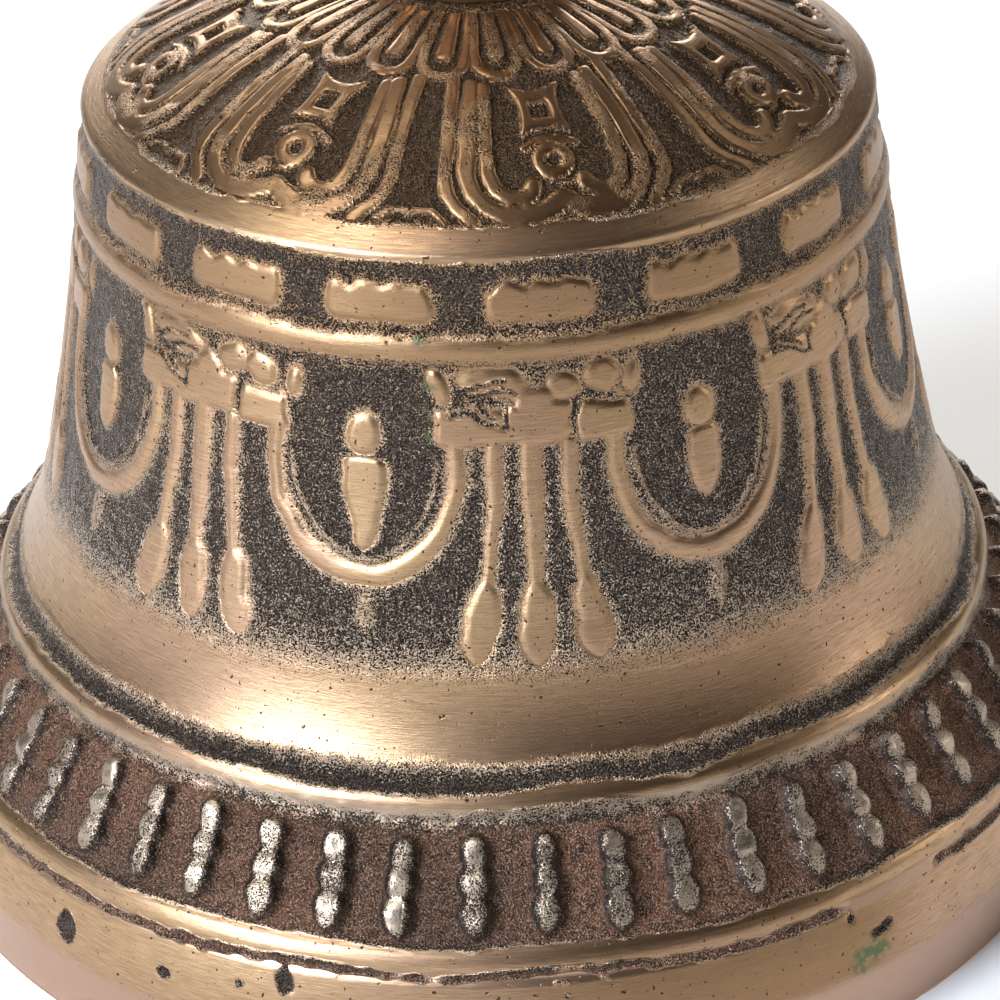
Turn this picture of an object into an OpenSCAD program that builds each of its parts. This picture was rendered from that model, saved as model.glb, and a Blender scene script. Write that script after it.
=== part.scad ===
// Hand bell of cast brass with a half-vajra handle and a hanging clapper.
// Millimetres, +Z up the bell's axis, origin at the centre of the lip's resting plane.

/* [Bell] */
// Radius of the lip at its widest
lip_r = 45; // [44:0.5:47]
// Height at which the lip is widest
lip_z = 5.7; // [5:0.1:7]
// Radius where the waist turns into the flared skirt
waist_r = 34.6; // [34:0.1:35.4]
// Height where the waist turns into the flared skirt
waist_z = 25.6; // [25:0.1:26.4]
// Radius of the shoulder
shoulder_r = 29; // [28.5:0.1:30]
// Height of the shoulder
shoulder_z = 59.2; // [58.6:0.1:60]
// Height of the flat seat that the handle stands on
seat_z = 68; // [67.6:0.1:68.4]
// Thickness of the crown under the seat
crown_t = 4.1; // [3.5:0.1:4.5]
// Thickness of the waist
wall_t = 3.2; // [2.6:0.1:3.4]
// Width of the lip's flat resting edge
lip_edge_w = 3.9; // [3.5:0.1:4.3]

/* [Rod and washers] */
// Radius of the iron rod that ties the bell and the handle together
rod_r = 2.5; // [2.2:0.1:2.6]
// Radial clearance of the rod in the castings
rod_gap = 0.1; // [0.05:0.01:0.2]
// Thickness of the leather washer under the handle
seat_washer_t = 0.4; // [0.3:0.05:0.6]
// Thickness of the leather washer inside the crown
damper_t = 1.2; // [0.8:0.1:1.6]
// Thickness of the iron washer
washer_t = 1.2; // [0.8:0.1:1.4]
// Width of the square nut across its flats
nut_w = 9; // [8:0.5:10]
// Height of the square nut
nut_h = 4; // [3.5:0.1:4.2]

/* [Handle] */
// Height of the handle's foot
foot_h = 6.4; // [6:0.2:7]
// Height of each pearl ring
ring_h = 3.4; // [3.2:0.1:3.8]
// Number of pearls round each ring
pearls = 12; // [8:1:12]
// Height of the vase-shaped grip
vase_h = 22; // [20:1:26]
// Radius of the grip's belly
belly_r = 8.6; // [8:0.1:9.5]
// Height of the lotus cup
lotus_h = 8.6; // [8:0.2:10]
// Radius of the round hub that the prongs spring from
hub_r = 6.6; // [6.4:0.1:7]
// Number of outer prongs
prongs = 8; // [4:1:8]
// Radius of the prong cage at its widest
cage_r = 15.5; // [14.5:0.1:16]
// Width of each outer prong, measured round the axis
prong_w = 2.4; // [1.8:0.1:2.5]
// Length of the point above the cap
tip_h = 6.5; // [5:0.5:8]

/* [Clapper] */
// Height of the pin in the rod's eye
eye_z = 51; // [50.6:0.1:51.2]
// Distance from the rod's pin to the clapper's pin
link_len = 11; // [10.6:0.1:12]
// Radius of both pins
pin_r = 1.5; // [1.3:0.1:1.6]
// Radial clearance of each pin in its eye
pin_gap = 0.06; // [0.03:0.01:0.09]
// Outer radius of the eyes and the fork ears
ear_r = 3.5; // [3.4:0.1:3.6]
// Thickness of each flat eye
eye_t = 2.6; // [2.2:0.1:2.8]
// Gap between an eye and each fork ear
ear_gap = 0.3; // [0.2:0.05:0.4]
// Thickness of each fork ear
ear_t = 1.8; // [1.5:0.1:2]
// Radius of the clapper's shank
shank_r = 1.8; // [1.6:0.1:2]
// Radius of the clapper's ball
ball_r = 6.5; // [6:0.1:6.6]
// Height of the ball's centre
ball_z = 14.5; // [14:0.1:16]

/* [Hidden] */
$fn = 96;

bore_r = rod_r + rod_gap;
seat_r = 6.9;                           // radius of the shallow recess that seats the handle
seat_deep = 0.3;
washer_seat_r = 9.2;                    // flat inside the crown that the damper bears on
rim_r = shoulder_r - 2;                 // inner edge of the plain rim round the crown
rim_z = shoulder_z + 1.3;
skirt_r = lip_r - 1.7;                  // foot of the flared skirt, above the lip band
skirt_z = 12.5;
mouth_r = lip_r - 0.3 - lip_edge_w;     // inner edge of the resting face

inner_seat_z = seat_z - crown_t;
damper_z = inner_seat_z - damper_t;
washer_z = damper_z - washer_t;
nut_z = washer_z - nut_h;

foot_z = seat_z + seat_washer_t;
lower_ring_z = foot_z + foot_h;
vase_z = lower_ring_z + ring_h;
upper_ring_z = vase_z + vase_h;
lotus_z = upper_ring_z + ring_h;
hub_z = lotus_z + lotus_h;
hub_collar_h = 1.8;
globe_z = hub_z + hub_r;                // centre of the hub's globe
hub_top_z = globe_z + hub_r * cos(30);
rod_top_z = globe_z + 0.5;              // end of the rod's thread inside the hub
prong_socket_z = rod_top_z + 1.5;

prong_z = globe_z + 2.5;                // where the outer prongs leave the hub
cage_h = 45;                            // height of the outer prongs
cage_mid_z = prong_z + cage_h / 2;
cap_h = 5;
cap_z = prong_z + cage_h - 1.5;
top_z = cap_z + cap_h + tip_h;
spine_r = 2.2;                          // radius of the centre prong under the cap

pivot_z = eye_z - link_len;             // height of the clapper's pin
fork_y = eye_t / 2 + ear_gap + ear_t;   // half width of a fork over its ears
slot_y = eye_t / 2 + ear_gap;
bridge_gap = 0.5;                       // room between an eye and its fork's bridge
bridge_t = link_len - 2 * (ear_r + bridge_gap);

// Points of a shallow curve from p to q that stands sag to the left of the straight line
function bow(p, q, sag, n = 12) = [
    for (i = [0:n])
        let (t = i / n, d = q - p)
        p + t * d + 4 * sag * t * (1 - t) * [-d[1], d[0]] / norm(d)
];

// Outline of the vase, from neck to neck, with its belly a little above the middle
function belly(r0, r1, z0, z1, n = 24) = [
    for (i = [0:n])
        let (t = i / n)
        [r0 + (r1 - r0) * pow(abs(sin(180 * pow(t, 1.2))), 1.5), z0 + t * (z1 - z0)]
];

// Solid of revolution with a straight hole of radius r up its middle
module turned(outline, r, z0, z1) {
    rotate_extrude() polygon(concat([[r, z0]], outline, [[r, z1]]));
}

module washer(r, z, h) {
    translate([0, 0, z]) difference() {
        cylinder(r = r, h = h);
        translate([0, 0, -1]) cylinder(r = bore_r, h = h + 2);
    }
}

// ---- the bell and what closes its crown ----

module bell_body() {
    crown = bow([seat_r, seat_z + seat_deep], [rim_r, rim_z], 1.6);
    waist = bow([shoulder_r, shoulder_z], [waist_r, waist_z], -0.6);
    skirt = bow([waist_r, waist_z], [skirt_r, skirt_z], -0.3);
    lip = bow([skirt_r, skirt_z], [lip_r, lip_z], 0.3, 6);
    inner_waist_r = waist_r - wall_t;
    inner_top_r = shoulder_r - wall_t + 0.2;
    inner_skirt = bow([mouth_r, 0], [inner_waist_r, waist_z - 1], -2.3);
    inner_waist = bow([inner_waist_r, waist_z - 1], [inner_top_r, shoulder_z - 6], 0.6);
    inner_corner = bow([inner_top_r, shoulder_z - 6], [shoulder_r - 8, shoulder_z], -1.2, 8);
    inner_crown = bow([shoulder_r - 8, shoulder_z], [washer_seat_r, inner_seat_z], -0.9);
    ridges = [[shoulder_r + 0.6, shoulder_z - 6.2], [waist_r + 2.3, waist_z - 4.5]];
    color("peru") {
        rotate_extrude($fn = 180) polygon(concat(
            [[bore_r, inner_seat_z], [bore_r, seat_z], [seat_r, seat_z]],
            crown, waist, skirt, lip, [[lip_r - 0.3, 0]],
            inner_skirt, inner_waist, inner_corner, inner_crown
        ));
        for (p = ridges) rotate_extrude($fn = 180) translate(p) circle(r = 0.8, $fn = 24);
    }
}

module seat_washer() {
    color("saddlebrown") washer(6.6, seat_z, seat_washer_t);
}

module damper_washer() {
    color("saddlebrown") washer(8, damper_z, damper_t);
}

module iron_washer() {
    color("dimgray") washer(7, washer_z, washer_t);
}

module square_nut() {
    color("dimgray") translate([0, 0, nut_z]) difference() {
        translate([-nut_w / 2, -nut_w / 2, 0]) cube([nut_w, nut_w, nut_h]);
        translate([0, 0, -1]) cylinder(r = rod_r, h = nut_h + 2);
    }
}

// Flat eye in the XZ plane, with its shank going up or down by h
module flat_eye(z, h, w, hole) {
    rotate([90, 0, 0]) linear_extrude(eye_t, center = true) difference() {
        union() {
            translate([0, z]) circle(r = ear_r);
            translate([-w, min(z, z + h)]) square([2 * w, abs(h)]);
        }
        translate([0, z]) circle(r = hole);
    }
}

module eye_rod() {
    flat_h = nut_z - eye_z - 0.6;
    color("dimgray") {
        flat_eye(eye_z, flat_h, rod_r, pin_r + pin_gap);
        translate([0, 0, eye_z + flat_h - 0.8]) cylinder(r = rod_r, h = rod_top_z - eye_z - flat_h + 0.8);
    }
}

// ---- the handle, from the crown up ----

module handle_foot() {
    z = foot_z;
    roll = bow([7.4, z], [7.1, z + 3], -0.5, 8);
    hollow = bow([7.1, z + 3], [6, z + foot_h], 0.9, 8);
    color("goldenrod") turned(concat(roll, hollow), bore_r, z, z + foot_h);
}

module pearl_ring(z) {
    color("goldenrod") {
        translate([0, 0, z]) difference() {
            cylinder(r = 5.6, h = ring_h);
            translate([0, 0, -1]) cylinder(r = bore_r, h = ring_h + 2);
        }
        for (i = [0:pearls - 1]) rotate([0, 0, i * 360 / pearls])
            translate([5.7, 0, z + ring_h / 2]) sphere(r = 1.4, $fn = 24);
    }
}

module lower_pearl_ring() {
    pearl_ring(lower_ring_z);
}

module upper_pearl_ring() {
    pearl_ring(upper_ring_z);
}

vase_wall = 1.7;
vase_end = 3;                           // solid length at each end of the vase
module vase_hollow(r) {
    z0 = vase_z + vase_end;
    z1 = vase_z + vase_h - vase_end;
    turned(belly(bore_r + 0.6, belly_r - vase_wall, z0, z1), r, z0, z1);
}

module handle_vase() {
    z0 = vase_z;
    z1 = vase_z + vase_h;
    foot = bow([6.2, z0 + 1], [4.8, z0 + 3], 0.3, 6);
    mouth = bow([4.8, z1 - 3], [6.2, z1 - 1], 0.3, 6);
    sides = belly(4.8, belly_r, z0 + 3, z1 - 3);
    outline = concat([[6.2, z0]], foot, sides, mouth, [[6.2, z1]]);
    color("goldenrod") difference() {
        turned(outline, bore_r, z0, z1);
        vase_hollow(bore_r - 0.5);
    }
}

module handle_fill() {
    color("saddlebrown") vase_hollow(rod_r);
}

module lotus_cup() {
    z = lotus_z;
    mid = z + lotus_h / 2;
    top = z + lotus_h;
    lower = bow([5.8, z], [9.2, mid - 1.2], 0.6, 8);
    waist = bow([9.2, mid - 0.6], [9.2, mid + 1.2], 2.2, 10);
    upper = bow([9.4, mid + 1.8], [8.4, top], -0.2, 6);
    color("goldenrod") turned(concat(lower, waist, upper), bore_r, z, top);
}

module vajra_hub() {
    globe = [for (a = [-50:5:60]) [hub_r * cos(a), globe_z + hub_r * sin(a)]];
    collar = [[hub_r - 0.6, hub_z], [hub_r - 0.4, hub_z + hub_collar_h / 2]];
    color("goldenrod") difference() {
        rotate_extrude() polygon(concat([[0, hub_z]], collar, globe, [[0, hub_top_z]]));
        translate([0, 0, hub_z - 1]) cylinder(r = rod_r, h = rod_top_z - hub_z + 1);
        translate([0, 0, prong_socket_z]) cylinder(r = spine_r, h = hub_r);
    }
}

// Crescent in the XZ plane: thick at the cage's widest, thin where it meets hub and cap
module prong() {
    outer_r = 30.2;
    inner_r = 34;
    prong_t = 3.4;
    rotate([90, 0, 0]) linear_extrude(prong_w, center = true) intersection() {
        difference() {
            translate([cage_r - outer_r, cage_mid_z]) circle(r = outer_r, $fn = 180);
            translate([cage_r - prong_t - inner_r, cage_mid_z]) circle(r = inner_r, $fn = 180);
        }
        translate([0, prong_z]) square([cage_r + 1, cage_h]);
    }
}

module vajra_prongs() {
    color("goldenrod") for (i = [0:prongs - 1]) rotate([0, 0, i * 360 / prongs]) prong();
}

module centre_prong() {
    root = bow([spine_r, hub_top_z + 0.5], [3, hub_top_z + 7], -0.6, 8);
    shaft = bow([3, hub_top_z + 7], [spine_r, cap_z - 4], -0.3, 8);
    point = bow([spine_r, cap_z + cap_h + 0.8], [0.5, top_z], -0.8, 8);
    color("goldenrod") rotate_extrude() polygon(concat(
        [[0, prong_socket_z], [spine_r, prong_socket_z]],
        root, shaft, point, [[0, top_z]]
    ));
}

module prong_cap() {
    z = cap_z;
    side = bow([4.8, z], [4.2, z + cap_h], -0.9, 10);
    color("goldenrod") turned(side, spine_r, z, z + cap_h);
}

// ---- the clapper, hung on two crossed pins ----

// Fork whose pin lies along Y at height z: two ears joined by a bridge below the eye
module fork(z) {
    drop = ear_r + bridge_gap + bridge_t;
    difference() {
        rotate([90, 0, 0]) linear_extrude(2 * fork_y, center = true) union() {
            translate([0, z]) circle(r = ear_r);
            translate([-ear_r, z - drop]) square([2 * ear_r, drop]);
        }
        translate([-ear_r - 1, -slot_y, z - ear_r - bridge_gap])
            cube([2 * ear_r + 2, 2 * slot_y, 3 * ear_r]);
        translate([0, 0, z]) rotate([90, 0, 0]) cylinder(r = pin_r, h = 4 * fork_y, center = true);
    }
}

// Pin along Y at height z, its ends spread into low heads outside the fork
module headed_pin(z) {
    head_t = 0.6;
    translate([0, 0, z]) rotate([90, 0, 0]) {
        cylinder(r = pin_r, h = 2 * fork_y, center = true);
        for (s = [-1, 1]) translate([0, 0, s * (fork_y + head_t / 2)])
            cylinder(r = pin_r + 0.7, h = head_t, center = true);
    }
}

module hanger_link() {
    color("dimgray") {
        fork(eye_z);
        rotate([0, 0, 90]) flat_eye(pivot_z, ear_r + bridge_gap + 0.2, fork_y, pin_r + pin_gap);
    }
}

module link_pin() {
    color("silver") headed_pin(eye_z);
}

module clapper_shank() {
    bridge_z = pivot_z - ear_r - bridge_gap - bridge_t;
    color("dimgray") {
        rotate([0, 0, 90]) fork(pivot_z);
        translate([0, 0, ball_z - ball_r]) cylinder(r = shank_r, h = bridge_z + 0.5 - ball_z + ball_r);
        translate([0, 0, ball_z - ball_r - 1]) cylinder(r1 = 1.6, r2 = 2.6, h = 1);
    }
}

module clapper_pin() {
    color("silver") rotate([0, 0, 90]) headed_pin(pivot_z);
}

module clapper_ball() {
    collar_h = 3;
    color("goldenrod") difference() {
        union() {
            intersection() {
                translate([0, 0, ball_z]) sphere(r = ball_r);
                translate([0, 0, ball_z - ball_r]) cylinder(r = ball_r + 1, h = 2 * ball_r);
            }
            translate([0, 0, ball_z + ball_r - 1]) cylinder(r1 = 3.4, r2 = 2.6, h = collar_h);
        }
        translate([0, 0, ball_z - ball_r - 1]) cylinder(r = shank_r, h = 2 * ball_r + 10);
    }
}

bell_body();
seat_washer();
damper_washer();
iron_washer();
square_nut();
eye_rod();
handle_foot();
lower_pearl_ring();
handle_vase();
handle_fill();
upper_pearl_ring();
lotus_cup();
vajra_hub();
vajra_prongs();
centre_prong();
prong_cap();
hanger_link();
link_pin();
clapper_shank();
clapper_pin();
clapper_ball();
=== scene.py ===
import math

import bpy
import numpy as np
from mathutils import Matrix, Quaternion, Vector


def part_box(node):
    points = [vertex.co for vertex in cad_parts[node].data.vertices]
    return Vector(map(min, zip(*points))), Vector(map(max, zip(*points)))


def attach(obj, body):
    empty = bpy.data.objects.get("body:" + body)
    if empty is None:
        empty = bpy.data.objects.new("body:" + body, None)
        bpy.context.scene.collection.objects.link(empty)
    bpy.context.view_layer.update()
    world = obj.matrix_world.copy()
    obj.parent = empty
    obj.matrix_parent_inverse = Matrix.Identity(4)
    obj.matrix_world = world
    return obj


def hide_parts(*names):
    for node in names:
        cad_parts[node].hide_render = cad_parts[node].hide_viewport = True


# Looks of the brass hand bell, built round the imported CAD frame.
# Lengths are in millimetres until a mesh is made, and angles are in degrees.

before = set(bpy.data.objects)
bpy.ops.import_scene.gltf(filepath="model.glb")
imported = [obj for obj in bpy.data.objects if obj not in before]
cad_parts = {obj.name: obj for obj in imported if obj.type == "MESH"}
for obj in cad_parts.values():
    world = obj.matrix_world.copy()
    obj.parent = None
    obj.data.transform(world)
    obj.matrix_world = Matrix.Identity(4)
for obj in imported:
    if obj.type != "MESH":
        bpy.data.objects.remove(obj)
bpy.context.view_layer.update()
MM = 0.001

# ---- sizes from the frame and the driving dimensions ----

BELL_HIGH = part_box("bell_body")[1] / MM
LIP_R = BELL_HIGH.x
LIP_Z = 5.7
SEAT_R = 6.9
SEAT_TOP = BELL_HIGH.z
SEAT_Z = SEAT_TOP - 0.3
CROWN_T = 4.1
WAIST = (34.6, 25.6)
SHOULDER = (29.0, 59.2)
RIM = (27.0, 60.5)
SKIRT = (43.3, 12.5)
MOUTH_R = LIP_R - 4.2
BORE_R = 2.6

# the handle, from the crown up
FOOT_Z, LOWER_RING_Z, VASE_Z, UPPER_RING_Z, LOTUS_Z, HUB_Z = (
    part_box(name)[0].z / MM for name in
    ("handle_foot", "lower_pearl_ring", "handle_vase", "upper_pearl_ring", "lotus_cup", "vajra_hub"))
HUB_R = 6.6
GLOBE_Z = HUB_Z + HUB_R
HUB_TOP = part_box("vajra_hub")[1].z / MM
ROD_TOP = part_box("eye_rod")[1].z / MM
SOCKET_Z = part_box("centre_prong")[0].z / MM
SPINE_R = 2.2
PRONGS_LOW, PRONGS_HIGH = (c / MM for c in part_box("vajra_prongs"))
CAP_Z, CAP_TOP = (c.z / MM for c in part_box("prong_cap"))
POINT_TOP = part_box("centre_prong")[1].z / MM
PEARLS = 12
BALL_R = 6.5
BALL_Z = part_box("clapper_ball")[0].z / MM + BALL_R
SHANK_R = 1.8

COLUMNS = 1200          # round the bell's outside
INSIDE_COLUMNS = COLUMNS // 4
ROW_STEP = 0.24
rng = np.random.default_rng(11)


def bow(p, q, sag, n=12):
    """Points of a shallow curve from p to q that stands sag to the left of the straight line."""
    p, q = np.array(p, float), np.array(q, float)
    t = np.linspace(0, 1, n + 1)[:, None]
    d = q - p
    return p + t * d + 4 * sag * t * (1 - t) * np.array([-d[1], d[0]]) / np.hypot(*d)


def smooth(x, a, b):
    t = np.clip((x - a) / (b - a), 0, 1)
    return t * t * (3 - 2 * t)


def between(x, a, b, c, d):
    """1 where x is from b to c, fading to 0 at a and at d."""
    return smooth(x, a, b) * smooth(-x, -d, -c)


def along(points):
    """Distance along a line of points."""
    return np.r_[0, np.cumsum(np.hypot(*np.diff(points, axis=0).T))]


def resample(points, step):
    s = along(points)
    n = max(2, int(round(s[-1] / step)) + 1)
    t = np.linspace(0, s[-1], n)
    return np.column_stack([np.interp(t, s, points[:, 0]), np.interp(t, s, points[:, 1])])


def rounded(points, radius, step=0.05):
    """The line with its corners rounded off and its ends where they were."""
    p = resample(points, step)
    k = int(3 * radius / step)
    w = np.exp(-0.5 * (np.arange(-k, k + 1) * step / radius) ** 2)
    padded = np.pad(p, ((k, k), (0, 0)), mode="reflect", reflect_type="odd")
    out = np.column_stack([np.convolve(padded[:, c], w / w.sum(), "valid") for c in (0, 1)])
    out[0], out[-1] = p[0], p[-1]
    return out


def random_field(shape, cell, size):
    """Smooth random heights of about -1 to 1, with bumps of that size, that join up all round."""
    f = np.fft.rfft2(rng.standard_normal(shape))
    fv = np.fft.fftfreq(shape[0], cell[0])[:, None]
    fu = np.fft.rfftfreq(shape[1], cell[1])[None]
    f *= np.exp(-2 * (math.pi * size * 0.35) ** 2 * (fv ** 2 + fu ** 2))
    a = np.fft.irfft2(f, shape)
    return a / (2 * a.std())


# ---- relief on a surface of revolution ----

RED, GREEN, GREY, BROWN = range(4)      # kinds of staining; BROWN also holds painted shade on the bell's front-right side
STAINS = 4


class Relief:
    """Heights over an outline turned about Z, with how worn and how stained each point is, and where shade is
    painted on it.
    s is the distance down the outline and theta is in degrees, 0 at the front and positive towards +X."""

    def __init__(self, outline, columns):
        self.outline = outline
        self.s = along(outline)
        self.r = outline[:, 0]
        self.columns = columns
        self.theta = np.arange(columns) * 360 / columns - 180
        shape = (len(self.s), columns)
        self.height = np.zeros(shape)
        self.wear = np.zeros(shape)
        self.stain_and_shade = np.zeros(shape + (STAINS,))

    def field(self, size):
        cell = (self.s[-1] / len(self.s), 2 * math.pi * self.r.mean() / self.columns)
        return random_field(self.height.shape, cell, size)

    def ground(self, levels, wears, jitter=0.0):
        """Sets the height and wear of the surface under the ornament, from lists of (s, value)."""
        s = self.s[:, None] + jitter
        self.height[:] = np.interp(self.s, *zip(*levels))[:, None]
        self.wear[:] = np.interp(s, *zip(*wears))
        self.base_height, self.base_wear = self.height.copy(), self.wear.copy()

    def window(self, centre, half, s0, s1):
        """Where an ornament goes: its indices, and u mm to the right of centre and s there."""
        rows = np.nonzero((self.s >= s0) & (self.s <= s1))[0]
        first = math.ceil((centre - half + 180) * self.columns / 360)
        last = math.floor((centre + half + 180) * self.columns / 360)
        cols = np.arange(first, last + 1)
        turn = np.radians(cols * 360 / self.columns - 180 - centre)
        u = turn[None] * self.r[rows][:, None]
        v = np.repeat(self.s[rows][:, None], len(cols), 1)
        return np.ix_(rows, cols % self.columns), u, v

    def put(self, where, d, top, edge, wear=1.35, soft=0.0):
        """Raises the part of an ornament where d, the distance in from its edge, is positive.
        soft is how far its worn edge fades out on each side, in mm; 0 gives a crisp rounded edge."""
        f = np.clip(d / edge, 0, 1)
        dome = smooth(d, -0.15, edge) if soft else np.sqrt(1 - (1 - f) ** 2)
        base, base_wear = self.base_height[where], self.base_wear[where]
        self.height[where] = np.maximum(self.height[where], base + (top - base) * dome)
        worn = smooth(d, -soft, soft) if soft else smooth(d, -0.08, 0.5 * edge)
        sheltered = smooth(d, -2.2, -1.0) * smooth(-d, 0, 0.6)
        ground = np.minimum(self.wear[where], base_wear - 0.22 * sheltered)
        self.wear[where] = np.where(self.wear[where] > base_wear + 0.01, self.wear[where], ground)
        self.wear[where] = np.maximum(self.wear[where], base_wear + (wear - base_wear) * worn)

    def cut(self, where, d, depth, edge, wear=0.0):
        f = smooth(d, -0.3 * edge, edge)
        self.height[where] -= depth * f
        self.wear[where] += (wear - self.wear[where]) * smooth(d, -0.6 * edge, 0.5 * edge)

    def stain_at(self, where, channel, amount):
        spot = self.stain_and_shade[where]
        spot[..., channel] = np.maximum(spot[..., channel], amount)
        self.stain_and_shade[where] = spot


def line_distance(u, v, points):
    """Distance to a line of points, and how far along it from 0 to 1."""
    best = np.full(u.shape, 1e9)
    at = np.zeros(u.shape)
    s = along(np.array(points, float))
    for (a, b), s0, s1 in zip(zip(points, points[1:]), s, s[1:]):
        d = np.array(b, float) - a
        t = np.clip(((u - a[0]) * d[0] + (v - a[1]) * d[1]) / (d @ d), 0, 1)
        near = np.hypot(u - a[0] - t * d[0], v - a[1] - t * d[1])
        closer = near < best
        best = np.where(closer, near, best)
        at = np.where(closer, (s0 + t * (s1 - s0)) / s[-1], at)
    return best, at


def bar(u, v, points, r0, r1=None):
    """Distance in from the edge of a line of points r0 wide each side, or r0 to r1 along it."""
    d, t = line_distance(u, v, points)
    return (r0 if r1 is None else r0 + (r1 - r0) * t) - d


def blob(u, v, cu, cv, ru, rv, tilt=0.0):
    a = math.radians(tilt)
    x = (u - cu) * math.cos(a) + (v - cv) * math.sin(a)
    y = (v - cv) * math.cos(a) - (u - cu) * math.sin(a)
    return (1 - np.hypot(x / ru, y / rv)) * min(ru, rv)


def block(u, v, cu, cv, hu, hv, corner=0.5):
    x, y = np.abs(u - cu) - (hu - corner), np.abs(v - cv) - (hv - corner)
    outside = np.hypot(np.maximum(x, 0), np.maximum(y, 0))
    return corner - outside - np.minimum(np.maximum(x, y), 0)


# ---- the bell's relief ----

CROWN_LINE = bow((SEAT_R, SEAT_TOP), RIM, 1.6, 60)
WAIST_LINE = bow(SHOULDER, WAIST, -0.6, 60)
SKIRT_LINE = bow(WAIST, SKIRT, -0.3, 30)
FLARE_LINE = rounded(np.vstack([WAIST_LINE, SKIRT_LINE[1:]]), 2.2)
LIP_LINE = bow(SKIRT, (LIP_R, LIP_Z), 0.3, 20)
OUTSIDE = np.vstack([CROWN_LINE, FLARE_LINE, LIP_LINE[1:], [[LIP_R - 0.3, 0]]])

FIRST_PETAL = 12.6      # theta of the big petal nearest the front
SMALL_PETALS = 24
FIRST_SMALL = -9.5
FIRST_MASK = 6.0
FIRST_BAR = 8.5
VAJRAS = 52
FIRST_VAJRA = -3.0


def big_petals(bell, warp):
    """Eight petals of three raised lines each, that end in an ogee with two curls, and what they hold."""
    outer = [(18.8, 9.0), (18.4, 13), (18.5, 18), (18.0, 19.2), (16.4, 20.3), (14.2, 21.25)]
    middle = [(14.0, 9.8), (14.6, 12), (15.0, 15), (14.8, 18), (13.8, 19.3), (12.0, 20.3), (9.5, 20.95),
              (6.5, 21.1), (3.5, 20.85), (1.4, 20.45), (0, 20.1)]
    inner = [(11.2, 10), (11.5, 13), (11.6, 16), (11.2, 17.8), (10.2, 19.0), (8.3, 19.7), (6.2, 19.75),
             (4.7, 19.25), (4.1, 18.8)]
    for k in range(8):
        centre = FIRST_PETAL + 45 * k + 1.2 * math.sin(math.radians(45 * k))
        where, u, v = bell.window(centre, 22, 8.4, 22.2)
        w = warp[where] * 0.05
        mirrored = np.abs(u + w)

        def line(points, r0, r1, top, wear=1.12):
            mm = [(math.radians(t) * np.interp(s, bell.s, bell.r), s) for t, s in points]
            bell.put(where, bar(mirrored, v + w, mm, r0, r1), top, 0.3, wear)

        line(outer, 0.5, 0.62, -0.02)
        line(middle, 0.6, 0.85, 0.06)
        line(inner, 0.5, 0.72, 0.03)
        curl = math.radians(4.3) * np.interp(18.9, bell.s, bell.r)
        bell.put(where, blob(mirrored, v + w, curl, 18.9, 0.75, 0.75), 0.1, 0.5, 1.2)
        petal_ornament(bell, where, u + w, v + w, k)
        gap, u, v = bell.window(centre + 22.5, 6.5, 19.5, 22.2)
        crest = [(-2.4, 21.3), (-1.5, 20.6), (-0.5, 20.55), (0, 20.75), (0.6, 20.5), (1.5, 20.6), (2.4, 21.4)]
        bell.put(gap, bar(u + warp[gap] * 0.1, v, crest, 0.3), 0.0, 0.3, 1.0)


def petal_ornament(bell, where, u, v, k):
    """A pierced lozenge with hollow sides over a ring with a tail."""
    lean = 0.1 * math.sin(2.1 * k)
    x, y = np.abs(u + lean * (v - 13)), v - 12.5
    across = 1.5 + 0.1 * np.minimum(y ** 2, 4) - x
    down = 1.85 + 0.2 * np.minimum(x ** 2, 4) - np.abs(y)
    lozenge = np.minimum(across, down)
    hole = block(x, y, 0, 0.15, 0.6, 0.62, 0.15)
    bell.put(where, np.minimum(lozenge, -hole), 0.06, 0.35, 1.12)
    collar = bar(u, v, [(-1.9, 15.8), (-1.0, 15.3), (0, 15.1), (1.0, 15.3), (1.9, 15.8)], 0.38)
    bell.put(where, collar, 0.0, 0.3, 1.12)
    bell.put(where, 0.62 - np.abs(np.hypot(u, v - 17.0) - 1.0), 0.08, 0.45, 1.12)
    side = 1 if k % 2 else -1
    tail = bar(u * side, v, [(1.0, 17.3), (0.8, 18.1), (0.0, 18.7), (-0.9, 18.8)], 0.5, 0.2)
    bell.put(where, tail, 0.05, 0.35, 1.12)


def small_petals(bell, warp):
    for k in range(SMALL_PETALS):
        centre = FIRST_SMALL + 360 / SMALL_PETALS * k
        where, u, v = bell.window(centre, 7.4, 1.0, 10.0)
        w = warp[where] * 0.05
        widest = np.interp(v, bell.s, bell.r) * math.radians(3.2)
        end = 6.75
        tip = math.radians(3.2) * np.interp(end, bell.s, bell.r)
        tongue = np.where(v > end, tip - np.hypot(u, v - end), widest - np.abs(u))
        tongue = np.minimum(tongue, (v - 1.6))
        bell.put(where, tongue + w, 0.1, 0.5, 1.1)
        edge = [(6.2, 1.6), (6.3, 6.6), (5.6, 7.8), (4.0, 8.5), (2.0, 8.85), (0, 9.0)]
        mm = [(math.radians(t) * np.interp(s, bell.s, bell.r), s) for t, s in edge]
        bell.put(where, bar(np.abs(u), v, mm, 0.25, 0.55) + w, 0.0, 0.3, 1.05)


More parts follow.
